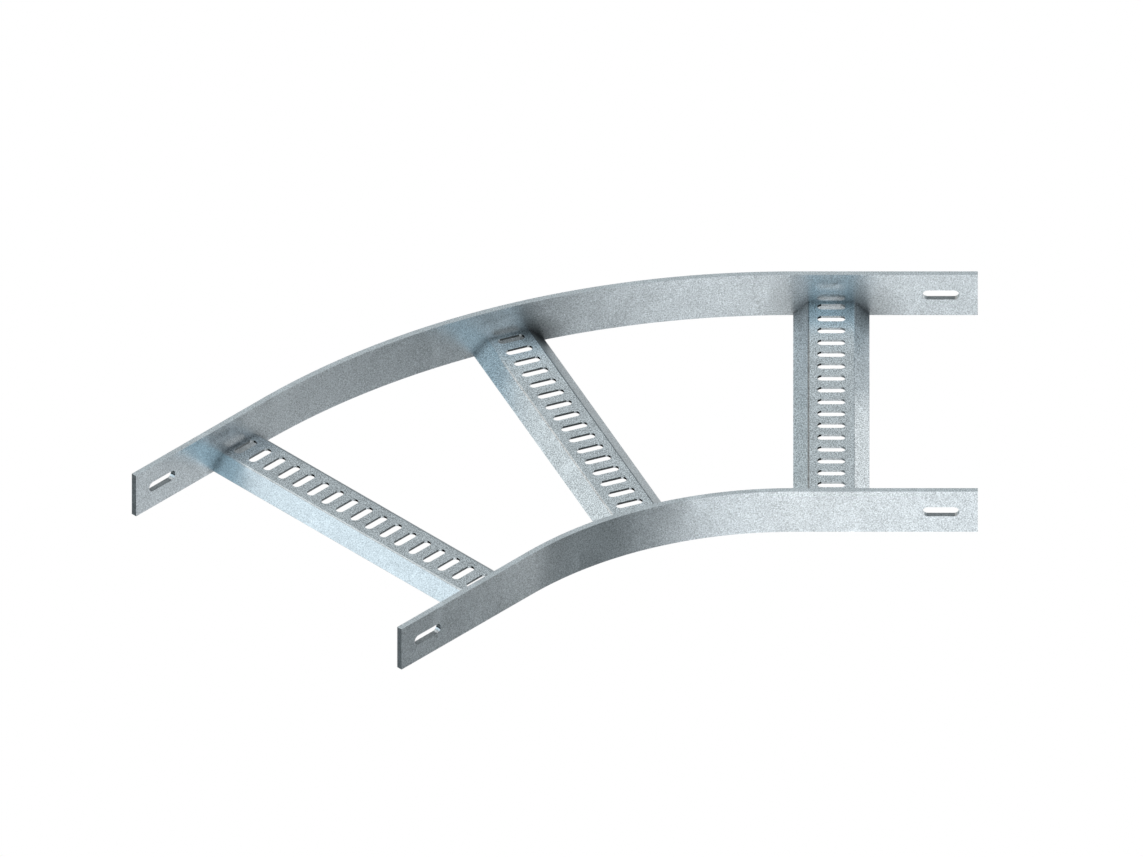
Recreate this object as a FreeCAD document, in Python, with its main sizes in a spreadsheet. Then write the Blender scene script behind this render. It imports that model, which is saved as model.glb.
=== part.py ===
import FreeCAD, Part
import math
import os
import Sketcher

# A 45 degree bend for ladder cable tray, in millimetres with Z up. Two flat bars on edge are rolled
# to the same angle, and folded rungs with slotted tops are welded between them. The origin is under
# the middle of the bend's outline, and the right-hand end faces along +X.
#
# Every piece is drawn from the bend's centre of curvature, with its own +Y pointing outwards along
# the radius that it belongs to: 0 degrees at the right-hand tangent line, the bend's angle at the
# left-hand one and half of it at the middle rung.

SIZES = {
    # the bend
    "clear_width": 300,  # between the rails' facing sides
    "inner_radius": 300,  # to the inner rail's near side
    "bend_angle": 45,
    "end_length": 150,  # straight run past each tangent line
    # the rails
    "rail_height": 40,
    "rail_thickness": 5,
    "rail_edge_break": 0.4,  # bevel along the bar's long edges
    "end_slot_length": 30,
    "end_slot_width": 9,
    "end_slot_inset": 30,  # rail's end to the slot's centre
    # the rungs
    "rung_base": 62,  # across the feet of the sloping walls
    "rung_height": 13,
    "rung_sheet": 2,
    "rung_wall_angle": 43,
    "fold_radius": 0.5,  # inside of each fold
    # the tie slots across each rung's flat top
    "tie_slot_length": 23,
    "tie_slot_width": 7.5,
    "tie_slot_pitch": 16.667,
    "tie_slot_margin": 10,  # inner rail to the first slot's centre
    "tie_slot_web": 2,  # least metal between the last slot and the outer rail
    # the fillet welds under the sloping walls
    "weld_leg": 3,
    "weld_stop": 0.5,  # bare wall left past each end of a bead
}

# Radii of the rails' facing sides and of the outer rail's far side.
RUNG_START = "(Sizes.inner_radius + Sizes.rail_thickness)"
RUNG_END = f"({RUNG_START} + Sizes.clear_width)"
OUTER_RADIUS = f"({RUNG_END} + Sizes.rail_thickness)"
HALF_BASE = "(Sizes.rung_base / 2)"

RIGHT = "0"
MIDDLE = "(Sizes.bend_angle / 2)"
LEFT = "Sizes.bend_angle"

doc = FreeCAD.newDocument("cable_tray_bend")


def make_sheet():
    sheet = doc.addObject("Spreadsheet::Sheet", "Sizes")
    for row, (name, value) in enumerate(SIZES.items(), start=1):
        sheet.set(f"A{row}", name)
        sheet.set(f"B{row}", str(value))
        sheet.setAlias(f"B{row}", name)
    doc.recompute()
    return sheet


sheet = make_sheet()


def number(expression):
    return float(sheet.evalExpression(expression))


def make_bend_centre():
    """The centre of curvature, placed so that the origin is under the middle of the outline."""
    reach = f"({OUTER_RADIUS} * sin({LEFT}) + Sizes.end_length * cos({LEFT}))"
    low = f"(Sizes.inner_radius * cos({LEFT}) - Sizes.end_length * sin({LEFT}))"
    centre = doc.addObject("App::Placement", "bend_centre")
    x = f"({reach} - Sizes.end_length) / 2"
    y = f"-({OUTER_RADIUS} + {low}) / 2"
    centre.setExpression("Placement", f"placement(vector({x}; {y}; 0); rotation(vector(0; 0; 1); 0))")
    doc.recompute()


def place(piece, angle, along="0"):
    """Turn a piece to its radius, then shift it along the tray."""
    turn = f"placement(vector(0; 0; 0); rotation(vector(0; 0; 1); {angle}))"
    shift = f"placement(vector({along}; 0; 0); rotation(vector(0; 0; 1); 0))"
    piece.setExpression("Placement", f"bend_centre.Placement * {turn} * {shift}")


def make_body(name):
    body = doc.addObject("PartDesign::Body", name)
    body.Label = name
    return body


def origin_part(body, role):
    return next(item for item in body.Origin.OriginFeatures if item.Role == role)


def make_sketch(body, name, plane):
    sketch = body.newObject("Sketcher::SketchObject", name)
    sketch.AttachmentSupport = (origin_part(body, plane), [""])
    sketch.MapMode = "FlatFace"
    return sketch


def line(sketch, start, end):
    return sketch.addGeometry(Part.LineSegment(FreeCAD.Vector(*start), FreeCAD.Vector(*end)), False)


def arc(sketch, centre, radius, first, last):
    """An arc turning anticlockwise between two angles in degrees."""
    circle = Part.Circle(FreeCAD.Vector(*centre), FreeCAD.Vector(0, 0, 1), radius)
    return sketch.addGeometry(Part.ArcOfCircle(circle, math.radians(first), math.radians(last)), False)


def rule(sketch, kind, *where):
    sketch.addConstraint(Sketcher.Constraint(kind, *where))


def size(sketch, name, expression, kind, *where):
    """A dimension that follows the sheet."""
    start = number(expression)
    if kind == "Angle":
        start = math.radians(start)
    index = sketch.addConstraint(Sketcher.Constraint(kind, *where, start))
    sketch.renameConstraint(index, name)
    sketch.setExpression("Constraints." + name, expression)


def make_pad(body, name, sketch, length, backwards=False):
    pad = body.newObject("PartDesign::Pad", name)
    pad.Profile = sketch
    pad.Reversed = backwards
    pad.setExpression("Length", length)
    doc.recompute()
    return pad


def cut_through(body, name, sketch):
    """Cut a sketch through the body, both ways from its plane."""
    before = body.Shape.Volume
    pocket = body.newObject("PartDesign::Pocket", name)
    pocket.Profile = sketch
    pocket.SideType = "Symmetric"
    pocket.Type = "ThroughAll"
    doc.recompute()
    if pocket.Shape.Volume >= before:
        raise RuntimeError(f"{body.Label}: {name} cuts nothing")
    return pocket


def repeat(body, feature, before):
    """Make a pattern or mirror the body's tip, and see that it has cut more."""
    body.Tip = feature
    doc.recompute()
    if feature.Shape.Volume >= before:
        raise RuntimeError(f"{body.Label}: {feature.Name} repeats nothing")


def draw_slot(sketch, centre_x, centre_y, length, width):
    """A slot with round ends, its length along the sketch's X."""
    x, y, half_width = number(centre_x), number(centre_y), number(width) / 2
    reach = number(length) / 2 - half_width
    left = arc(sketch, (x - reach, y), half_width, 90, 270)
    lower = line(sketch, (x - reach, y - half_width), (x + reach, y - half_width))
    right = arc(sketch, (x + reach, y), half_width, -90, 90)
    upper = line(sketch, (x + reach, y + half_width), (x - reach, y + half_width))
    rule(sketch, "Tangent", left, 2, lower, 1)
    rule(sketch, "Tangent", lower, 2, right, 1)
    rule(sketch, "Tangent", right, 2, upper, 1)
    rule(sketch, "Tangent", upper, 2, left, 1)
    rule(sketch, "Equal", left, right)
    rule(sketch, "Horizontal", lower)
    size(sketch, "end_radius", f"{width} / 2", "Radius", left)
    size(sketch, "centre_span", f"{length} - {width}", "DistanceX", left, 3, right, 3)
    size(sketch, "place_x", f"{centre_x} - ({length} - {width}) / 2", "DistanceX", -1, 1, left, 3)
    size(sketch, "place_y", centre_y, "DistanceY", -1, 1, left, 3)


# Rails

def draw_bar_plan(sketch, near, far):
    """The bar seen from above: a straight run, the bend and a straight run."""
    angle = number(LEFT)
    run = number("Sizes.end_length")
    turn = math.radians(angle)

    def left_point(radius, along):
        x = -radius * math.sin(turn) - along * math.cos(turn)
        y = radius * math.cos(turn) - along * math.sin(turn)
        return x, y

    inside, outside = number(near), number(far)
    near_right = line(sketch, (run, inside), (0, inside))
    near_bend = arc(sketch, (0, 0), inside, 90, 90 + angle)
    near_left = line(sketch, left_point(inside, 0), left_point(inside, run))
    left_end = line(sketch, left_point(inside, run), left_point(outside, run))
    far_left = line(sketch, left_point(outside, run), left_point(outside, 0))
    far_bend = arc(sketch, (0, 0), outside, 90, 90 + angle)
    far_right = line(sketch, (0, outside), (run, outside))
    right_end = line(sketch, (run, outside), (run, inside))
    rule(sketch, "Coincident", near_bend, 3, -1, 1)
    rule(sketch, "Coincident", far_bend, 3, -1, 1)
    rule(sketch, "Tangent", near_right, 2, near_bend, 1)
    rule(sketch, "Tangent", near_bend, 2, near_left, 1)
    rule(sketch, "Coincident", near_left, 2, left_end, 1)
    rule(sketch, "Coincident", left_end, 2, far_left, 1)
    rule(sketch, "Tangent", far_left, 2, far_bend, 2)
    rule(sketch, "Tangent", far_bend, 1, far_right, 1)
    rule(sketch, "Coincident", far_right, 2, right_end, 1)
    rule(sketch, "Coincident", right_end, 2, near_right, 1)
    rule(sketch, "Horizontal", near_right)
    rule(sketch, "Horizontal", far_right)
    rule(sketch, "Vertical", right_end)
    rule(sketch, "Perpendicular", near_left, left_end)
    rule(sketch, "Perpendicular", far_left, left_end)
    size(sketch, "near_radius", near, "Radius", near_bend)
    size(sketch, "far_radius", far, "Radius", far_bend)
    size(sketch, "turn", LEFT, "Angle", near_bend)
    size(sketch, "right_run", "Sizes.end_length", "DistanceX", near_right, 2, near_right, 1)
    size(sketch, "left_run", "Sizes.end_length", "Distance", near_left)


def break_long_edges(body, pad):
    longer_than = 1.5 * number("Sizes.rail_thickness")
    names = []
    for index, edge in enumerate(pad.Shape.Edges, start=1):
        level = edge.BoundBox.ZLength < 0.001
        if level and edge.Length > longer_than:
            names.append(f"Edge{index}")
    bevel = body.newObject("PartDesign::Chamfer", "broken_edges")
    bevel.Base = (pad, names)
    bevel.setExpression("Size", "Sizes.rail_edge_break")
    doc.recompute()


def make_rail(name, near):
    body = make_body(name)
    plan = make_sketch(body, "bar_plan", "XY_Plane")
    draw_bar_plan(plan, near, f"{near} + Sizes.rail_thickness")
    bar = make_pad(body, "bent_bar", plan, "Sizes.rail_height")
    break_long_edges(body, bar)
    slot = make_sketch(body, "slot_outline", "XZ_Plane")
    draw_slot(
        slot,
        "(Sizes.end_length - Sizes.end_slot_inset)",
        "(Sizes.rail_height / 2)",
        "Sizes.end_slot_length",
        "Sizes.end_slot_width",
    )
    right_slot = cut_through(body, "right_end_slot", slot)
    before = body.Shape.Volume
    bisector = body.newObject("PartDesign::Plane", "bisector")
    bisector.AttachmentSupport = (origin_part(body, "YZ_Plane"), [""])
    bisector.MapMode = "FlatFace"
    half_turn = f"rotation(vector(0; 1; 0); {MIDDLE})"
    bisector.setExpression("AttachmentOffset", f"placement(vector(0; 0; 0); {half_turn})")
    left_slot = body.newObject("PartDesign::Mirrored", "left_end_slot")
    left_slot.Originals = [right_slot]
    left_slot.MirrorPlane = (bisector, [""])
    repeat(body, left_slot, before)
    place(body, RIGHT)
    return body


# Rungs

def draw_folded_section(sketch):
    """The folded sheet seen along the rung: two sloping walls, their feet cut square, and a flat top."""
    slope = number("Sizes.rung_wall_angle")
    turn = math.radians(slope)
    sheet_thickness = number("Sizes.rung_sheet")
    inside = number("Sizes.fold_radius")
    outside = inside + sheet_thickness
    top = number("Sizes.rung_height")
    foot_x = number(HALF_BASE)
    foot_z = sheet_thickness * math.cos(turn)
    fold_z = top - outside
    # The wall's outer face is tangent to the fold, whose centre is on the level fold_z.
    fold_x = foot_x - (fold_z + outside * math.cos(turn) - foot_z) / math.tan(turn) - outside * math.sin(turn)

    def wall_point(side, radius, foot):
        normal = (side * math.sin(turn), math.cos(turn))
        if foot:
            depth = outside - radius
            return side * foot_x - depth * normal[0], foot_z - depth * normal[1]
        return side * fold_x + radius * normal[0], fold_z + radius * normal[1]

    def skin(radius):
        """One face of the sheet, from the left foot over the top to the right foot."""
        left_wall = line(sketch, wall_point(-1, radius, True), wall_point(-1, radius, False))
        left_fold = arc(sketch, (-fold_x, fold_z), radius, 90, 90 + slope)
        flat = line(sketch, (-fold_x, fold_z + radius), (fold_x, fold_z + radius))
        right_fold = arc(sketch, (fold_x, fold_z), radius, 90 - slope, 90)
        right_wall = line(sketch, wall_point(1, radius, False), wall_point(1, radius, True))
        rule(sketch, "Tangent", left_wall, 2, left_fold, 2)
        rule(sketch, "Tangent", left_fold, 1, flat, 1)
        rule(sketch, "Tangent", flat, 2, right_fold, 2)
        rule(sketch, "Tangent", right_fold, 1, right_wall, 1)
        return left_wall, left_fold, flat, right_fold, right_wall

    outer = skin(outside)
    inner = skin(inside)
    feet = []
    for side, wall, low_end in ((-1, 0, 1), (1, 4, 2)):
        foot = line(sketch, wall_point(side, inside, True), wall_point(side, outside, True))
        rule(sketch, "Coincident", inner[wall], low_end, foot, 1)
        rule(sketch, "Coincident", foot, 2, outer[wall], low_end)
        rule(sketch, "Perpendicular", foot, outer[wall])
        rule(sketch, "PointOnObject", inner[wall], low_end, -1)
        feet.append(foot)
    rule(sketch, "Parallel", inner[0], outer[0])
    rule(sketch, "Horizontal", outer[2])
    rule(sketch, "Coincident", inner[1], 3, outer[1], 3)
    rule(sketch, "Coincident", inner[3], 3, outer[3], 3)
    rule(sketch, "Symmetric", outer[1], 3, outer[3], 3, -2)
    rule(sketch, "Symmetric", outer[0], 1, outer[4], 2, -2)
    size(sketch, "fold_inside", "Sizes.fold_radius", "Radius", inner[1])
    size(sketch, "fold_inside_right", "Sizes.fold_radius", "Radius", inner[3])
    size(sketch, "sheet", "Sizes.rung_sheet", "Distance", feet[0])
    size(sketch, "base", "Sizes.rung_base", "DistanceX", outer[0], 1, outer[4], 2)
    size(sketch, "height", "Sizes.rung_height", "DistanceY", -1, 1, outer[2], 1)
    size(sketch, "slope", "Sizes.rung_wall_angle", "Angle", outer[1])


def cope_to_rails(body):
    """Cut the ends of a rung in the bend to the curves of the two rails."""
    inner_cope = body.newObject("PartDesign::SubtractiveCylinder", "inner_cope")
    inner_cope.setExpression("Radius", RUNG_START)
    inner_cope.setExpression("Height", "Sizes.rail_height")
    doc.recompute()
    outer_cope = make_sketch(body, "outer_rail_ring", "XY_Plane")
    for name, radius in (("near_side", RUNG_END), ("far_side", OUTER_RADIUS)):
        circle = Part.Circle(FreeCAD.Vector(0, 0, 0), FreeCAD.Vector(0, 0, 1), number(radius))
        ring = outer_cope.addGeometry(circle, False)
        rule(outer_cope, "Coincident", ring, 3, -1, 1)
        size(outer_cope, name, radius, "Radius", ring)
    cut_through(body, "outer_cope", outer_cope)


def cut_tie_slots(body):
    first = make_sketch(body, "tie_slot_outline", "XY_Plane")
    draw_slot(
        first,
        "0",
        f"({RUNG_START} + Sizes.tie_slot_margin)",
        "Sizes.tie_slot_length",
        "Sizes.tie_slot_width",
    )
    slot = cut_through(body, "first_tie_slot", first)
    before = body.Shape.Volume
    row = body.newObject("PartDesign::LinearPattern", "tie_slots")
    row.Originals = [slot]
    row.Direction = (origin_part(body, "Y_Axis"), [""])
    row.Mode = "Spacing"
    row.setExpression("Offset", "Sizes.tie_slot_pitch")
    edge = "Sizes.tie_slot_margin - Sizes.tie_slot_width / 2 - Sizes.tie_slot_web"
    row.setExpression("Occurrences", f"floor((Sizes.clear_width - {edge}) / Sizes.tie_slot_pitch) + 1")
    repeat(body, row, before)


def make_rung(name, angle, along, in_bend=False):
    body = make_body(name)
    section = make_sketch(body, "folded_section", "XZ_Plane")
    draw_folded_section(section)
    start = RUNG_START
    if in_bend:
        # The corners of the inner end reach back to the rail's curve.
        start = f"sqrt({RUNG_START}^2 - {HALF_BASE}^2)"
    upright = "rotation(vector(0; 0; 1); 0)"
    section.setExpression("AttachmentOffset", f"placement(vector(0; 0; -{start}); {upright})")
    make_pad(body, "folded_sheet", section, f"{RUNG_END} - {start}", backwards=True)
    if in_bend:
        cope_to_rails(body)
    cut_tie_slots(body)
    place(body, angle, along)
    return body


# Welds

def make_weld(name, angle, along, rail, side, in_bend=False):
    """A fillet bead up the inner face of one sloping wall, trimmed to the face of its rail.

    side is -1 for the rung's left-hand wall and 1 for its right-hand one.
    """
    slope = "Sizes.rung_wall_angle"
    foot = f"({HALF_BASE} - Sizes.rung_sheet * sin({slope}))"
    # Distances up the wall: the bead's lower end clears the rail's bevel, its upper end the fold.
    clear_of_bevel = f"((Sizes.rail_edge_break + Sizes.weld_stop) / sin({slope}))"
    bead_start = f"(Sizes.weld_leg / tan({slope}) + {clear_of_bevel})"
    fold = f"((Sizes.rung_height - Sizes.rung_sheet) / sin({slope}) - Sizes.fold_radius * tan({slope} / 2))"
    bead_length = f"({fold} - Sizes.weld_stop - {bead_start})"
    offset = f"({foot} - ({bead_start} + {bead_length} / 2) * cos({slope}))"
    outward = 1 if rail.Label == "inner_rail" else -1
    radius = RUNG_START if outward > 0 else RUNG_END
    face = f"sqrt({radius}^2 - {offset}^2)" if in_bend else radius
    # The section is carried half-way into the rail, and the rail is then cut away from it.
    root = "(Sizes.rail_thickness / 2)"
    wall_reach = f"(Sizes.weld_leg + {root})"
    corner = f"({face} - {outward} * {root})"

    bead = make_body(f"{name}_bead")
    section = make_sketch(bead, "bead_section", "XY_Plane")
    x = f"{side} * ({foot} - {bead_start} * cos({slope}))"
    tilt = f"rotation(vector(0; 1; 0); {-side} * (90 - {slope}))"
    z = f"{bead_start} * sin({slope})"
    section.setExpression("AttachmentOffset", f"placement(vector({x}; 0; {z}); {tilt})")
    toe_x = -side * number("Sizes.weld_leg")
    corner_y, face_y = number(corner), number(face)
    wall_toe = (0, corner_y + outward * number(wall_reach))
    root_line = line(section, (0, corner_y), (toe_x, corner_y))
    buried_side = line(section, (toe_x, corner_y), (toe_x, face_y))
    weld_face = line(section, (toe_x, face_y), wall_toe)
    wall_leg = line(section, wall_toe, (0, corner_y))
    rule(section, "Coincident", root_line, 2, buried_side, 1)
    rule(section, "Coincident", buried_side, 2, weld_face, 1)
    rule(section, "Coincident", weld_face, 2, wall_leg, 1)
    rule(section, "Coincident", wall_leg, 2, root_line, 1)
    rule(section, "Horizontal", root_line)
    rule(section, "Vertical", buried_side)
    rule(section, "PointOnObject", wall_leg, 1, -2)
    rule(section, "PointOnObject", wall_leg, 2, -2)
    size(section, "corner", corner, "DistanceY", -1, 1, wall_leg, 2)
    size(section, "leg", "Sizes.weld_leg", "Distance", root_line)
    size(section, "root", root, "Distance", buried_side)
    size(section, "wall_reach", wall_reach, "Distance", wall_leg)
    make_pad(bead, "bead_run", section, bead_length)
    place(bead, angle, along)

    weld = doc.addObject("Part::Cut", name)
    weld.Label = name
    weld.Base = bead
    weld.Tool = rail
    doc.recompute()
    return weld


def main():
    make_bend_centre()
    inner_rail = make_rail("inner_rail", "Sizes.inner_radius")
    outer_rail = make_rail("outer_rail", RUNG_END)
    pieces = [inner_rail, outer_rail]
    rungs = (
        ("right_rung", RIGHT, HALF_BASE, False),
        ("middle_rung", MIDDLE, "0", True),
        ("left_rung", LEFT, f"-{HALF_BASE}", False),
    )
    for name, angle, along, in_bend in rungs:
        pieces.append(make_rung(name, angle, along, in_bend))
        for end, rail in (("inner", inner_rail), ("outer", outer_rail)):
            for wall, side in (("left", -1), ("right", 1)):
                label = f"{name}_weld_{end}_{wall}"
                pieces.append(make_weld(label, angle, along, rail, side, in_bend))
    doc.recompute()
    check(pieces)
    os.makedirs("parts", exist_ok=True)
    for piece in pieces:
        piece.Shape.exportStep(f"parts/{piece.Label}.step")
        print(f"{piece.Label}: {piece.Shape.Volume:.1f} mm3")


def check(pieces):
    for item in doc.Objects:
        if "Invalid" in item.State or "Error" in item.State:
            raise RuntimeError(f"{item.Label} failed: {item.State}")
    for piece in pieces:
        if piece.Shape.isNull() or not piece.Shape.isValid():
            raise RuntimeError(f"{piece.Label} has no valid shape")
        if len(piece.Shape.Solids) != 1:
            raise RuntimeError(f"{piece.Label} is {len(piece.Shape.Solids)} solids")


main()
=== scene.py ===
import math

import bpy
from mathutils import Matrix, Vector


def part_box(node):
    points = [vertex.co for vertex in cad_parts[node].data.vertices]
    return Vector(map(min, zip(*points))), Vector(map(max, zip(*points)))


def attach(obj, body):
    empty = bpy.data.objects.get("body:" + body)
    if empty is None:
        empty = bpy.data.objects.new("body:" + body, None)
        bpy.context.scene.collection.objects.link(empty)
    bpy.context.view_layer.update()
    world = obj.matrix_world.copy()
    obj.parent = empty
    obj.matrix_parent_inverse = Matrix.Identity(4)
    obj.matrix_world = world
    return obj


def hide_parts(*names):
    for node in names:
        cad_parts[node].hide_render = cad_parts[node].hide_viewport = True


# A flat bend of ladder cable tray in galvanised steel. Lengths are in metres, angles in radians.
# Shapes are drawn from the bend's centre of curvature, then moved to where the CAD frame has it.

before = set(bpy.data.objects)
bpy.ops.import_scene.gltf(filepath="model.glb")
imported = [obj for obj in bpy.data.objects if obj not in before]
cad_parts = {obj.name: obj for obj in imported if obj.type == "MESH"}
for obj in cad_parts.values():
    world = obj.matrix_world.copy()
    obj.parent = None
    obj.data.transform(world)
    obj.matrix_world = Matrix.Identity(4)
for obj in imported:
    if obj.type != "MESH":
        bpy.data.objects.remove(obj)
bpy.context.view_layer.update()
scene = bpy.context.scene
millimetre = 0.001
print("CAD frame loaded:", len(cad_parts), "nodes")

bend = {
    "clearWidth": 0.300,
    "innerRadius": 0.300,  # to the inner rail's near side
    "angle": math.radians(45),
    "endRun": 0.150,  # straight run past each tangent line
    "thickness": 0.005,
}
bend["innerFace"] = bend["innerRadius"] + bend["thickness"]  # the rails' facing sides
bend["outerFace"] = bend["innerFace"] + bend["clearWidth"]
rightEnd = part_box("inner_rail")[1].x
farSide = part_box("outer_rail")[1].y
bendCentre = Vector((rightEnd - bend["endRun"], farSide - bend["outerFace"] - bend["thickness"], 0))


class Wire:
    # A node's output that can stand in a sum: each operator adds one Math node.
    def __init__(self, graph, socket):
        self.graph = graph
        self.socket = socket

    def math(self, operation, *others):
        return self.graph.math(operation, self, *others)

    def __add__(self, other):
        return self.math("ADD", other)

    def __radd__(self, other):
        return self.graph.math("ADD", other, self)

    def __sub__(self, other):
        return self.math("SUBTRACT", other)

    def __rsub__(self, other):
        return self.graph.math("SUBTRACT", other, self)

    def __mul__(self, other):
        return self.math("MULTIPLY", other)

    def __rmul__(self, other):
        return self.graph.math("MULTIPLY", other, self)

    def __truediv__(self, other):
        return self.math("DIVIDE", other)

    def __rpow__(self, other):
        return self.graph.math("POWER", other, self)

    def __neg__(self):
        return 0 - self

    def __gt__(self, other):
        return self.math("GREATER_THAN", other)

    def __lt__(self, other):
        return self.math("LESS_THAN", other)

    def __abs__(self):
        return self.math("ABSOLUTE")

    def output(self, name):
        return Wire(self.graph, self.socket.node.outputs[name])


class Graph:
    def __init__(self, tree):
        self.tree = tree
        tree.nodes.clear()

    # Every node comes from here. Settings come first, because they decide which sockets there are.
    # The inputs are a dictionary by socket, or a list in the sockets' own order.
    def add(self, kind, settings=None, inputs=(), output=0):
        node = self.tree.nodes.new(kind)
        for name, value in (settings or {}).items():
            setattr(node, name, value)
        for name, value in inputs.items() if isinstance(inputs, dict) else enumerate(inputs):
            self.feed(node.inputs[name], value)
        if node.outputs:
            return Wire(self, node.outputs[output])

    def math(self, operation, *terms, clamp=False):
        return self.add("ShaderNodeMath", {"operation": operation, "use_clamp": clamp}, terms)

    def feed(self, socket, value):
        if isinstance(value, list):
            for wire in value:
                self.tree.links.new(wire.socket, socket)
        elif isinstance(value, Wire):
            self.tree.links.new(value.socket, socket)
        else:
            socket.default_value = value


# Materials

def noise(graph, place, size, detail, roughness=0.5):
    return graph.add(
        "ShaderNodeTexNoise",
        {},
        {"Vector": place, "Scale": 1 / size, "Detail": detail, "Roughness": roughness},
        "Fac",
    )


# A Mix node's sockets for colours are the ones with these numbers.
def mixColours(graph, factor, first, second, blend="MIX"):
    settings = {"data_type": "RGBA", "blend_type": blend}
    return graph.add("ShaderNodeMix", settings, {0: factor, 6: first, 7: second}, 2)


# The number that a tree below has marked on a face under this name, or nought.
def readMark(graph, name):
    return graph.add("ShaderNodeAttribute", {"attribute_name": name}, output="Fac")


rightTurn, middleTurn, leftTurn = 0.0, bend["angle"] / 2, bend["angle"]


# A point by the outer rail: how far along the tray from a radius, how far in from the rail, how high.
def besideRail(turn, along, inwards, height):
    place = Vector((along, bend["outerFace"] - inwards, height))
    return bendCentre + Matrix.Rotation(turn, 3, "Z") @ place


# Patches of painted shade, standing in for shadow and dark reflections: each one's middle, its reach and
# its depth, which is 1 for black.
paintedShadePatches = (
    # on the seams of the rungs' walls
    (besideRail(middleTurn, 0.0277, 0.006, 0.004), 0.024, 0.85),
    (besideRail(middleTurn, 0.0171, 0.0, 0.018), 0.020, 0.3),
    (besideRail(rightTurn, 0.0603, 0.001, 0.003), 0.035, 0.5),
    (besideRail(rightTurn, 0.0, 0.003, 0.006), 0.030, 0.3),
    # on the rail, behind a rung's last slot
    (besideRail(middleTurn, 0.006, 0.0, 0.002), 0.014, 0.4),
    (besideRail(middleTurn, -0.006, 0.0, 0.002), 0.014, 0.4),
    (besideRail(leftTurn, -0.025, 0.0, 0.002), 0.014, 0.35),
    (besideRail(leftTurn, -0.037, 0.0, 0.002), 0.014, 0.35),
)


def makeGalvanised(name, look):
    material = bpy.data.materials.new(name)
    material.use_nodes = True
    graph = Graph(material.node_tree)
    here = graph.add("ShaderNodeTexCoord", output="Object")
    place = graph.add("ShaderNodeMapping", {}, {"Vector": here, "Location": look["shift"]})
    # Noise lies round 0.5, which is taken off where it should lighten as much as it darkens.
    cloud = noise(graph, place, look["cloudSize"], detail=3) - 0.5
    patch = noise(graph, place, look["patchSize"], detail=2) - 0.5
    grain = noise(graph, place, look["grainSize"], detail=2, roughness=0.7) - 0.5
    slant = {"Vector": place, "Rotation": look["smearTurn"], "Scale": look["smearStretch"]}
    slanted = graph.add("ShaderNodeMapping", {}, slant)
    smear = noise(graph, slanted, look["smearSize"], detail=1) - look["smearRarity"]
    smear = graph.math("MULTIPLY", smear, look["smearSharpness"], clamp=True)
    mottle = 1 + readMark(graph, "mottle")
    tone = 0.5 + cloud * look["cloudDepth"] + patch * look["patchDepth"]
    tone = tone + grain * mottle * look["grainDepth"] + smear * look["smearDepth"]
    colour = mixColours(graph, tone, (*look["dark"], 1), (*look["pale"], 1))
    # Painted shade: corners, creases and slot walls darkened by ambient occlusion
    cornerShade = graph.add("ShaderNodeAmbientOcclusion", {"samples": 8}, {"Distance": look["cornerShadeReach"]}, "AO")
    # Painted light and shade marked on faces by the trees below: above 0 darker, below 0 lighter
    dull = readMark(graph, "dull")
    shade = (1 - (1 - cornerShade) * look["cornerShadeDepth"]) * (1 - dull * look["paintedShadeDepth"])
    # Painted shade patches, fading out with distance from each middle
    takesPatchShade = 1 - readMark(graph, "clean")
    for middle, reach, depth in paintedShadePatches:
        away = graph.add("ShaderNodeVectorMath", {"operation": "DISTANCE"}, [here, middle], "Value")
        near = graph.math("DIVIDE", reach - away, reach, clamp=True)
        shade = shade * (1 - near * takesPatchShade * depth)
    greyShade = graph.add("ShaderNodeCombineColor", {}, [shade, shade, shade])
    colour = mixColours(graph, 1.0, colour, greyShade, "MULTIPLY")
    roughness = look["roughness"] + cloud * look["roughnessDepth"]
    normal = graph.add(
        "ShaderNodeBump",
        {},
        {"Strength": look["bumpStrength"], "Distance": look["bumpHeight"], "Height": grain},
    )
    shader = graph.add(
        "ShaderNodeBsdfPrincipled",
        {},
        {"Base Color": colour, "Metallic": 1.0, "Roughness": roughness, "Normal": normal},
    )
    graph.add("ShaderNodeOutputMaterial", {}, {"Surface": shader})
    return material


zinc = {
    "shift": (0, 0, 0),
    "cloudSize": 0.030,
    "cloudDepth": 0.25,
    "patchSize": 0.008,
    "patchDepth": 0.15,
    "grainSize": 0.00105,
    "grainDepth": 2.3,
    "smearSize": 0.015,  # pale wipes in the zinc, few and slanting
    "smearTurn": (0, 0.9, 0.6),
    "smearStretch": (1, 1, 0.45),
    "smearRarity": 0.60,
    "smearSharpness": 7,
    "smearDepth": 0.14,
    "dark": (0.26, 0.28, 0.29),
    "pale": (0.92, 0.97, 1.0),
    "cornerShadeReach": 0.010,  # how far the painted shade in corners and creases spreads
    "cornerShadeDepth": 0.65,
    "paintedShadeDepth": 0.9,  # where the painted shade mark is 1
    "roughness": 0.30,
    "roughnessDepth": 0.1,
    "bumpStrength": 0.3,
    "bumpHeight": 0.0001,
}
railZinc = makeGalvanised("galvanisedRail", zinc | {"grainDepth": 2.0})
rungZinc = makeGalvanised("galvanisedRung", zinc | {"shift": (0.3, 0.7, 0.2)})
weldZinc = makeGalvanised("galvanisedWeld", zinc | {"roughness": 0.42, "bumpStrength": 0.4})
print("materials made")


# Pieces from Geometry Nodes

def startTree(name, sizes):
    tree = bpy.data.node_groups.new(name, "GeometryNodeTree")
    graph = Graph(tree)
    tree.interface.new_socket("Geometry", in_out="OUTPUT", socket_type="NodeSocketGeometry")
    for size in sizes:
        kind = "NodeSocketInt" if isinstance(sizes[size], int) else "NodeSocketFloat"
        tree.interface.new_socket(size, in_out="INPUT", socket_type=kind)
    given = graph.add("NodeGroupInput")
    return graph, {size: given.output(size) for size in sizes}


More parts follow.
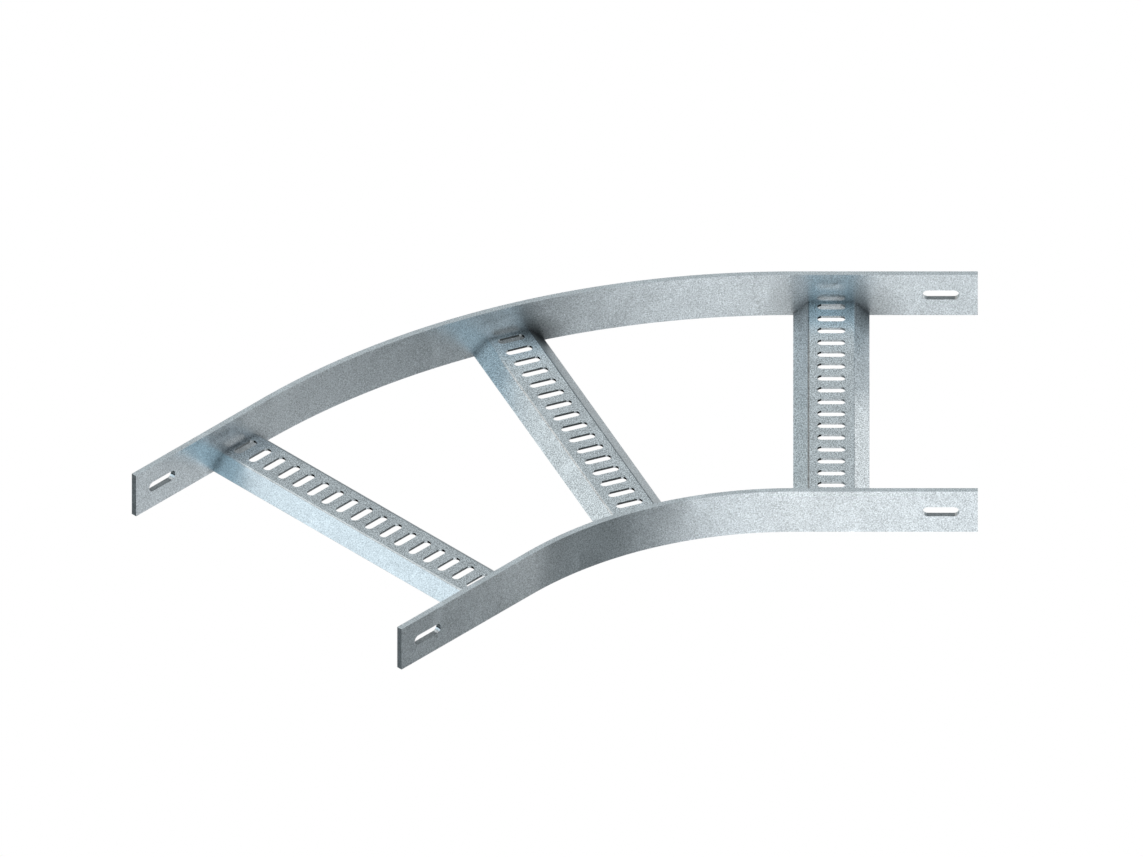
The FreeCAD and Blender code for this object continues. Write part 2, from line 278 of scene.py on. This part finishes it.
def endTree(graph, shape, material):
    shape = graph.add("GeometryNodeRealizeInstances", {}, {"Geometry": shape})
    shape = graph.add("GeometryNodeSetShadeSmooth", {}, {"Geometry": shape, "Shade Smooth": True})
    shape = graph.add("GeometryNodeSetMaterial", {}, {"Geometry": shape, "Material": material})
    graph.add("NodeGroupOutput", {}, {0: shape})
    return graph.tree


def vector(graph, x, y, z):
    return graph.add("ShaderNodeCombineXYZ", {}, {"X": x, "Y": y, "Z": z})


# Each face's own place, or the way it faces, as three numbers.
def ofEachFace(graph, kind):
    split = graph.add("ShaderNodeSeparateXYZ", {}, [graph.add(kind)])
    return {axis: split.output(axis) for axis in "XYZ"}


def placeOfFaces(graph):
    return ofEachFace(graph, "GeometryNodeInputPosition")


def facingOfFaces(graph):
    return ofEachFace(graph, "GeometryNodeInputNormal")


def moved(graph, shape, place, turn=(0, 0, 0)):
    inputs = {"Geometry": shape, "Translation": place, "Rotation": turn}
    return graph.add("GeometryNodeTransform", {}, inputs)


# A path of straight runs and arcs through points whose places are worked out from their numbers.
def pathThrough(graph, count, place):
    points = graph.add("GeometryNodeMeshLine", {}, {"Count": count})
    points = graph.add("GeometryNodeSetPosition", {}, {"Geometry": points, "Position": place})
    return graph.add("GeometryNodeMeshToCurve", {}, {"Mesh": points})


def carry(graph, path, outline):
    inputs = {"Curve": path, "Profile Curve": outline, "Fill Caps": True}
    return graph.add("GeometryNodeCurveToMesh", {}, inputs)


# Carries an outline along a path, its width level across the path and its height square to that.
def carryLevel(graph, path, outline):
    path = graph.add("GeometryNodeSetCurveNormal", {"mode": "Z_UP"}, {"Curve": path})
    return carry(graph, path, outline)


def rectangle(graph, width, height):
    return graph.add("GeometryNodeCurvePrimitiveQuadrilateral", {}, {"Width": width, "Height": height})


def roundCorners(graph, curve, steps, radius):
    inputs = {"Curve": curve, "Count": steps, "Radius": radius}
    return graph.add("GeometryNodeFilletCurve", {"mode": "POLY"}, inputs)


slotEndSteps = 14
slotEndShare = 0.4999  # of the width, just short of a half so that the two corners' arcs don't meet
longWallFacing = 0.97  # least part of the normal along Z on a slot's two long walls
shadowSpotHalfWidth = math.radians(33)
blackShadowSpot = 1.08  # painted shade deep enough to show black


# The plug of metal that a slot takes out: its length lies along X and it is punched along Y.
# It leaves painted shade on the slot's long walls, and a painted black shadow spot on one of its rounded
# ends.
def slotPlug(graph, size, depth):
    length, width, shadowSpotAngle = size["Slot Length"], size["Slot Width"], size["Shadow Spot Angle"]
    outline = roundCorners(graph, rectangle(graph, length, width), slotEndSteps, width * slotEndShare)
    ends = {"Start": vector(graph, 0, depth * -0.5, 0), "End": vector(graph, 0, depth * 0.5, 0)}
    plug = carryLevel(graph, graph.add("GeometryNodeCurvePrimitiveLine", {}, ends), outline)
    place = placeOfFaces(graph)
    isLongWall = abs(facingOfFaces(graph)["Z"]) > longWallFacing
    wallShade = size["Shade Slot"] * isLongWall
    across = shadowSpotAngle.math("COSINE")
    endMiddle = across.math("SIGN") * (length - width) * 0.5
    towardsShadowSpot = (place["X"] - endMiddle) * across + place["Z"] * shadowSpotAngle.math("SINE")
    isShadowSpot = towardsShadowSpot > width * 0.5 * math.cos(shadowSpotHalfWidth)
    wallShade = wallShade + isShadowSpot * (blackShadowSpot - wallShade)
    return mark(graph, plug, "dull", wallShade)


# Keeps a number on the faces for the material to read.
def mark(graph, shape, name, value, faces=True):
    settings = {"data_type": "FLOAT", "domain": "FACE"}
    inputs = {"Geometry": shape, "Selection": faces, "Name": name, "Value": value}
    return graph.add("GeometryNodeStoreNamedAttribute", settings, inputs)


def cutAway(graph, shape, cutters):
    settings = {"operation": "DIFFERENCE", "solver": "EXACT"}
    return graph.add("GeometryNodeMeshBoolean", settings, {"Mesh 1": shape, "Mesh 2": cutters})


bevelSteps = 2
bevelAngle = math.radians(40)  # only edges sharper than this are broken


def makePiece(name, tree, sizes, edgeBreak=0.0):
    piece = bpy.data.objects.new(name, bpy.data.meshes.new(name))
    scene.collection.objects.link(piece)
    modifier = piece.modifiers.new("shape", "NODES")
    modifier.node_group = tree
    for item in tree.interface.items_tree:
        if item.in_out == "INPUT":
            modifier[item.identifier] = sizes[item.name]
    if edgeBreak:
        bevel = piece.modifiers.new("edgeBreak", "BEVEL")
        bevel.width = edgeBreak
        bevel.segments = bevelSteps
        bevel.limit_method = "ANGLE"
        bevel.angle_limit = bevelAngle
        piece.modifiers.new("flatFaces", "WEIGHTED_NORMAL")
    evaluated = piece.evaluated_get(bpy.context.evaluated_depsgraph_get())
    shape = bpy.data.meshes.new_from_object(evaluated)
    piece.modifiers.clear()
    piece.data = shape
    return piece


def finishPiece(piece, slotName, *nodes):
    piece.data.update()
    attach(piece, "root")
    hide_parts(*nodes)


# Rails

rail = {
    "Height": 0.040,
    "Thickness": bend["thickness"],
    "Angle": bend["angle"],
    "End Run": bend["endRun"],
    "Slot Length": 0.030,
    "Slot Width": 0.009,
    "Slot Inset": 0.030,  # rail's end to the slot's centre
    # painted shade on the slots' long walls
    "Shade Slot": 0.6,
    "Shadow Spot Angle": math.radians(10),  # where each slot's painted black shadow spot sits, round from the slot's own axis
    "Shade Left End": 0.35,
    "Radius": 0.0,  # to the middle of the bar
    "Arc Steps": 90,
}
railEdgeBreak = 0.4 * millimetre
endFacing = 0.98  # least part of the normal along the bar on its sawn ends


def makeRailTree():
    graph, size = startTree("bentRail", rail)
    # The first point is the right end, the last one is the left end and the others lie on the arc.
    index = graph.add("GeometryNodeInputIndex")
    steps = size["Arc Steps"]
    turn = graph.math("DIVIDE", index - 1, steps, clamp=True) * size["Angle"]
    past = ((index > steps + 1.5) - (index < 0.5)) * size["End Run"]
    sine = turn.math("SINE")
    cosine = turn.math("COSINE")
    x = -size["Radius"] * sine - past * cosine
    y = size["Radius"] * cosine - past * sine
    half = size["Height"] * 0.5
    path = pathThrough(graph, steps + 3, vector(graph, x, y, half))
    bar = carryLevel(graph, path, rectangle(graph, size["Thickness"], size["Height"]))
    plug = slotPlug(graph, size, size["Thickness"] * 2)  # longer than the bar is thick
    reach = size["End Run"] - size["Slot Inset"]
    rightPlug = moved(graph, plug, vector(graph, reach, size["Radius"], half))
    leftPlug = moved(graph, plug, vector(graph, -reach, size["Radius"], half))
    leftPlug = moved(graph, leftPlug, (0, 0, 0), vector(graph, 0, 0, size["Angle"]))
    bar = cutAway(graph, bar, [rightPlug, leftPlug])
    place = placeOfFaces(graph)
    facing = facingOfFaces(graph)
    rightward = size["Angle"].math("COSINE") * facing["X"] + size["Angle"].math("SINE") * facing["Y"]
    # Painted shade on the rail's sawn left end, darker for how the light falls on it
    bar = mark(graph, bar, "dull", size["Shade Left End"], rightward < -endFacing)
    outward = place["X"] * facing["X"] + place["Y"] * facing["Y"]
    bar = mark(graph, bar, "clean", 1.0, outward > 0)  # the painted shade patches stay off the far side
    return endTree(graph, moved(graph, bar, bendCentre), railZinc)


railTree = makeRailTree()
for name, node, radius in (
    ("innerRail", "inner_rail", bend["innerRadius"] + bend["thickness"] / 2),
    ("outerRail", "outer_rail", bend["outerFace"] + bend["thickness"] / 2),
):
    piece = makePiece(name, railTree, rail | {"Radius": radius}, railEdgeBreak)
    finishPiece(piece, "galvanised_rail", node)
print("rails made")


# Rungs

rung = {
    "Base": 0.062,  # across the outer corners of the two feet
    "Height": 0.013,
    "Sheet": 0.002,
    "Slope": math.radians(43),
    "Fold Radius": 0.0005,
    "Start": bend["innerFace"],
    "End": bend["outerFace"],
    "Along": 0.0,
    "Turn": 0.0,
    "Slot Length": 0.023,
    "Slot Width": 0.0075,
    "Slot Pitch": 0.05 / 3,
    "First Slot": bend["innerFace"] + 0.010,
    "Slots": 18,
    "Shade Slot": 0.0,  # painted shade of 1 is nearly black, and one below 0 is a painted highlight, brighter than the rest
    "Shadow Spot Angle": 0.0,  # where each slot's rounded end gets a painted black shadow spot, round from the slot's own axis
    "Shade Left Fold": 0.0,
    "Shade Right Fold": 0.0,
    "Fold Level": 0.75,  # how much of a fold's curve takes painted shade, as the least upward part of its normal
    "Shade Top": 0.0,
    "Shade Wall": 0.0,
    "Top Mottle": 0.7,  # grain beyond the material's own
    "Wall Mottle": 0.0,
}
rungEdgeBreak = 0.1 * millimetre
foldSteps = 10
topLevel = 0.995  # least upright part of the normal on the flat top
wallLevel = 0.75  # most on a sloping wall
outsideLevel = 0.3  # least on anything but the sheet's cut edges


def makeRungTree(inBend):
    graph, size = startTree("foldedRung", rung)
    # The section's four points are the left foot, the left fold, the right fold and the right foot.
    index = graph.add("GeometryNodeInputIndex")
    half = size["Sheet"] * 0.5
    slope = size["Slope"]
    footX = size["Base"] * 0.5 - half * slope.math("SINE")
    footZ = half * slope.math("COSINE")
    topZ = size["Height"] - half
    cornerX = footX - (topZ - footZ) / slope.math("TANGENT")
    side = (index > 1.5) * 2 - 1
    isFoot = abs(index - 1.5) > 1
    x = side * (cornerX + isFoot * (footX - cornerX))
    z = topZ - isFoot * (topZ - footZ)
    middle = (size["Start"] + size["End"]) * 0.5
    section = pathThrough(graph, 4, vector(graph, x, middle, z))
    section = roundCorners(graph, section, foldSteps, size["Fold Radius"] + half)
    sheet = carryLevel(graph, section, rectangle(graph, size["End"] - size["Start"], size["Sheet"]))
    plug = slotPlug(graph, size, size["Sheet"] * 3)
    plug = moved(graph, plug, (0, 0, 0), (math.radians(-90), 0, 0))
    row = graph.add(
        "GeometryNodeMeshLine",
        {},
        {
            "Count": size["Slots"],
            "Start Location": vector(graph, 0, size["First Slot"], topZ),
            "Offset": vector(graph, 0, size["Slot Pitch"], 0),
        },
    )
    plugs = graph.add("GeometryNodeInstanceOnPoints", {}, {"Points": row, "Instance": plug})
    plugs = graph.add("GeometryNodeRealizeInstances", {}, {"Geometry": plugs})
    sheet = cutAway(graph, sheet, [plugs])
    if inBend:
        sheet = copeToRails(graph, sheet)
    facing = facingOfFaces(graph)
    level = abs(facing["Z"])
    isFlat = level > topLevel
    isSloping = (level > outsideLevel) * (1 - isFlat)
    isOuterWall = (facing["Z"] > outsideLevel) * (level < wallLevel)
    isFold = (level > size["Fold Level"]) * (1 - isFlat)
    # Painted light and shade on whole faces: the top, the outer walls and each fold darker, or lighter
    # below 0, for how light falls on them
    sheet = mark(graph, sheet, "dull", size["Shade Top"], facing["Z"] > topLevel)
    sheet = mark(graph, sheet, "dull", size["Shade Wall"], isOuterWall)
    sheet = mark(graph, sheet, "dull", size["Shade Left Fold"], isFold * (facing["X"] < 0))
    sheet = mark(graph, sheet, "dull", size["Shade Right Fold"], isFold * (facing["X"] > 0))
    sheet = mark(graph, sheet, "mottle", isFlat * size["Top Mottle"] + isSloping * size["Wall Mottle"])
    sheet = moved(graph, sheet, vector(graph, size["Along"], 0, 0))
    sheet = moved(graph, sheet, bendCentre, vector(graph, 0, 0, size["Turn"]))
    return endTree(graph, sheet, rungZinc)


drum = {"Vertices": 720, "Depth": 0.2}  # a side for each half degree, as the rails' arcs have


# Trims both ends to the rails' curves, with a drum as large as the inner face and one as the outer face.
def copeToRails(graph, sheet):
    inner = graph.add("GeometryNodeMeshCylinder", {}, drum | {"Radius": bend["innerFace"]})
    outer = graph.add("GeometryNodeMeshCylinder", {}, drum | {"Radius": bend["outerFace"]})
    settings = {"operation": "INTERSECT", "solver": "EXACT"}
    sheet = graph.add("GeometryNodeMeshBoolean", settings, {"Mesh 2": [sheet, outer]})
    return cutAway(graph, sheet, [inner])


straightRungTree = makeRungTree(False)
copedRungTree = makeRungTree(True)
halfBase = rung["Base"] / 2
rungPlaces = (
    ("rightRung", "right_rung", rightTurn, halfBase, False),
    ("middleRung", "middle_rung", middleTurn, 0.0, True),
    ("leftRung", "left_rung", leftTurn, -halfBase, False),
)
# Each rung's painted light and shade for how light falls on it, with its extra grain
rungLooks = {
    "rightRung": {
        "Shade Slot": 0.28,
        "Shadow Spot Angle": math.radians(128),
        "Shade Left Fold": 0.5,
        "Shade Right Fold": -0.2,
        "Wall Mottle": 1.0,
    },
    "middleRung": {
        "Shade Slot": 0.85,
        "Shadow Spot Angle": math.radians(12),
        "Shade Right Fold": 0.6,
        "Fold Level": 0.9,
        "Shade Wall": -0.05,
        "Wall Mottle": 0.3,
    },
    "leftRung": {
        "Shade Slot": 0.7,
        "Shadow Spot Angle": math.radians(-5),
        "Shade Top": 0.12,
        "Shade Wall": -0.12,
        "Wall Mottle": -0.35,
    },
}
for name, node, turn, along, inBend in rungPlaces:
    sizes = rung | {"Turn": turn, "Along": along} | rungLooks[name]
    if inBend:  # starts far enough in for its feet to be trimmed
        sizes["Start"] = math.sqrt(bend["innerFace"] ** 2 - halfBase ** 2) - millimetre
    tree = copedRungTree if inBend else straightRungTree
    piece = makePiece(name, tree, sizes, rungEdgeBreak)
    finishPiece(piece, "galvanised_rung", node)
print("rungs made")


# Welds: a rippled bead under each sloping wall at each end

bead = {
    "Length": 0.0109,
    "Radius": 0.0021,
    "Ripples": 9,
    "Ripple Depth": 0.14,  # share of the radius
    "Steps": 90,
}
beadStart = 0.00454  # up the wall's inner face, from the foot
beadInset = 0.0006  # from each of the two faces to the bead's middle
beadEndGirth = 0.35  # share of the radius at the two ends
beadEndTaper = 10  # the higher, the shorter the taper
beadRoundSteps = 20


def makeBeadTree():
    graph, size = startTree("weldBead", bead)
    end = vector(graph, 0, 0, size["Length"])
    line = graph.add("GeometryNodeCurvePrimitiveLine", {}, {"Start": (0, 0, 0), "End": end})
    line = graph.add("GeometryNodeResampleCurve", {}, {"Curve": line, "Count": size["Steps"]})
    along = graph.add("GeometryNodeSplineParameter", output="Factor")
    ripple = (along * size["Ripples"]).math("FRACT")
    fullness = 1 - abs(along * 2 - 1).math("POWER", beadEndTaper)
    girth = 1 - size["Ripple Depth"] * ripple * ripple
    girth = girth * (beadEndGirth + (1 - beadEndGirth) * fullness)
    line = graph.add("GeometryNodeSetCurveRadius", {}, {"Curve": line, "Radius": girth})
    circle = {"Resolution": beadRoundSteps, "Radius": size["Radius"]}
    ring = graph.add("GeometryNodeCurvePrimitiveCircle", {}, circle)
    return endTree(graph, carry(graph, line, ring), weldZinc)


beadTree = makeBeadTree()
slope = rung["Slope"]
for rungName, node, turn, along, inBend in rungPlaces:
    for end, face, outward in (("inner", bend["innerFace"], 1), ("outer", bend["outerFace"], -1)):
        for wall, side in (("left", -1), ("right", 1)):
            upWall = Vector((-side * math.cos(slope), 0, math.sin(slope)))
            intoTray = Vector((0, outward, 0))
            fromWall = Vector((-side * math.sin(slope), 0, -math.cos(slope)))
            footX = side * (halfBase - rung["Sheet"] * math.sin(slope))
            start = Vector((footX, 0, 0)) + beadStart * upWall
            start.y = math.sqrt(face ** 2 - start.x ** 2) if inBend else face
            start += beadInset * (intoTray + fromWall)
            axes = Matrix((intoTray, upWall.cross(intoTray), upWall)).transposed().to_4x4()
            toSeam = Matrix.Translation((along, 0, 0)) @ Matrix.Translation(start) @ axes
            piece = makePiece(f"{rungName}Weld{end.title()}{wall.title()}", beadTree, bead)
            piece.data.transform(Matrix.Translation(bendCentre) @ Matrix.Rotation(turn, 4, "Z") @ toSeam)
            finishPiece(piece, "galvanised_weld", f"{node}_weld_{end}_{wall}")
print("weld beads made")


# Studio

# Far lights: where each one comes from, its spread in degrees and its colour at the middle.
softLights = {
    "frontLow": ((0, -0.99, -0.14), 20, (0.7, 0.69, 0.67)),
    "backRightLow": ((0.7, 0.7, -0.14), 20, (1.38, 1.4, 1.4)),
    "backLeftLow": ((-0.7, 0.7, -0.14), 20, (0.81, 0.87, 0.86)),
    "left": ((-0.94, 0, 0.34), 20, (1.38, 1.64, 1.8)),
    "front": ((0.05, -0.88, 0.47), 20, (0.26, 0.46, 0.57)),
    "behindCamera": ((0, -0.82, 0.57), 22, (0.1, 0.16, 0.2)),
    "frontLeftLevel": ((-0.573, -0.816, 0.037), 18, (0.85, 0.87, 0.9)),
    "frontRightLevel": ((0.573, -0.816, 0.037), 18, (0.47, 0.49, 0.51)),
    "highRight": ((0.816, 0, 0.577), 20, (0.35, 0.37, 0.4)),
    "highBackLeft": ((-0.53, 0.53, 0.67), 22, (0.57, 0.44, 0.35)),
    "highFrontRight": ((0.53, -0.53, 0.67), 22, (0.5, 0.58, 0.63)),
    "highBack": ((0, 0.41, 0.91), 22, (1.2, 1.36, 1.44)),
}
dimAllRound = (0.162, 0.183, 0.191)

# Near lights: round panels under the part, facing up. Each one's middle, width, power and colour.
panelLights = {
    "underFront": ((0.36, -0.72, -0.6), 0.42, 0.46, (0.97, 1.0, 1.03)),
    "farUnderFront": ((0, -1.44, -0.6), 0.8, 3.8, (1, 1, 1)),
    "farUnderFrontRight": ((0.72, -1.44, -0.6), 0.8, 2.7, (0.98, 1, 1.02)),
    "underMiddle": ((0.36, 0, -0.6), 0.42, 0.46, (0.98, 1, 1.02)),
    "underRight": ((1.08, 0, -0.6), 0.42, 0.66, (1, 1, 1)),
}


def makeWorld():
    world = bpy.data.worlds.new("softStudio")
    world.use_nodes = True
    scene.world = world
    graph = Graph(world.node_tree)
    direction = graph.add("ShaderNodeTexCoord", output="Generated")
    total = dimAllRound
    for toLight, spread, colour in softLights.values():
        towards = graph.add(
            "ShaderNodeVectorMath",
            {"operation": "DOT_PRODUCT"},
            {0: direction, 1: Vector(toLight).normalized()},
            "Value",
        )
        sharpness = math.log(2) / (1 - math.cos(math.radians(spread)))
        fade = math.e ** ((towards - 1) * sharpness)
        glow = graph.add("ShaderNodeVectorMath", {"operation": "SCALE"}, {0: colour, "Scale": fade})
        total = graph.add("ShaderNodeVectorMath", {"operation": "ADD"}, {0: total, 1: glow})
    seen = graph.add("ShaderNodeLightPath", output="Is Camera Ray")
    light = graph.add("ShaderNodeBackground", {}, {"Color": total})
    backdrop = graph.add("ShaderNodeBackground", {}, {"Color": (1, 1, 1, 1), "Strength": 1.0})
    both = graph.add("ShaderNodeMixShader", {}, [seen, light, backdrop])
    graph.add("ShaderNodeOutputWorld", {}, {"Surface": both})


def makePanels():
    for name, (place, width, power, colour) in panelLights.items():
        light = bpy.data.lights.new(name, "AREA")
        light.shape = "DISK"
        light.size = width
        light.energy = power
        light.color = colour
        panel = bpy.data.objects.new(name, light)
        panel.location = place
        panel.rotation_euler = (math.pi, 0, 0)
        panel.visible_camera = False
        scene.collection.objects.link(panel)


floorWidth = 40
floorDrop = 0.5 * millimetre  # below the rails' lower edges


# A pale floor that glows evenly, seen by the camera alone and clear from underneath.
def makeFloor():
    material = bpy.data.materials.new("paleFloor")
    material.use_nodes = True
    graph = Graph(material.node_tree)
    glow = graph.add("ShaderNodeEmission", {}, {"Color": (1, 1, 1, 1), "Strength": 1.0})
    clear = graph.add("ShaderNodeBsdfTransparent")
    below = graph.add("ShaderNodeNewGeometry", output="Backfacing")
    surface = graph.add("ShaderNodeMixShader", {}, [below, glow, clear])
    graph.add("ShaderNodeOutputMaterial", {}, {"Surface": surface})
    half = floorWidth / 2
    mesh = bpy.data.meshes.new("floor")
    corners = [(-half, -half, 0), (half, -half, 0), (half, half, 0), (-half, half, 0)]
    mesh.from_pydata(corners, [], [(0, 1, 2, 3)])
    mesh.materials.append(material)
    floor = bpy.data.objects.new("floor", mesh)
    floor.location.z = -floorDrop
    scene.collection.objects.link(floor)
    floor.visible_diffuse = False
    floor.visible_glossy = False
    floor.visible_shadow = False
    floor.visible_transmission = False


cameraView = {
    "elevation": math.atan(math.sqrt(0.5)),  # a true isometric view
    "pixelsPerMetre": 1230.8,
    "imageWidth": 1143,
    "target": (0.01357, 0.087375, 0.0),
    "distance": 3.0,
}


def makeCamera():
    camera = bpy.data.objects.new("camera", bpy.data.cameras.new("camera"))
    camera.data.type = "ORTHO"
    camera.data.ortho_scale = cameraView["imageWidth"] / cameraView["pixelsPerMetre"]
    elevation = cameraView["elevation"]
    back = Vector((0, -math.cos(elevation), math.sin(elevation)))
    camera.location = Vector(cameraView["target"]) + cameraView["distance"] * back
    camera.rotation_euler = (math.pi / 2 - elevation, 0, 0)
    scene.collection.objects.link(camera)
    scene.camera = camera


makeWorld()
makePanels()
makeFloor()
makeCamera()
scene.view_settings.view_transform = "Standard"
print("studio made")
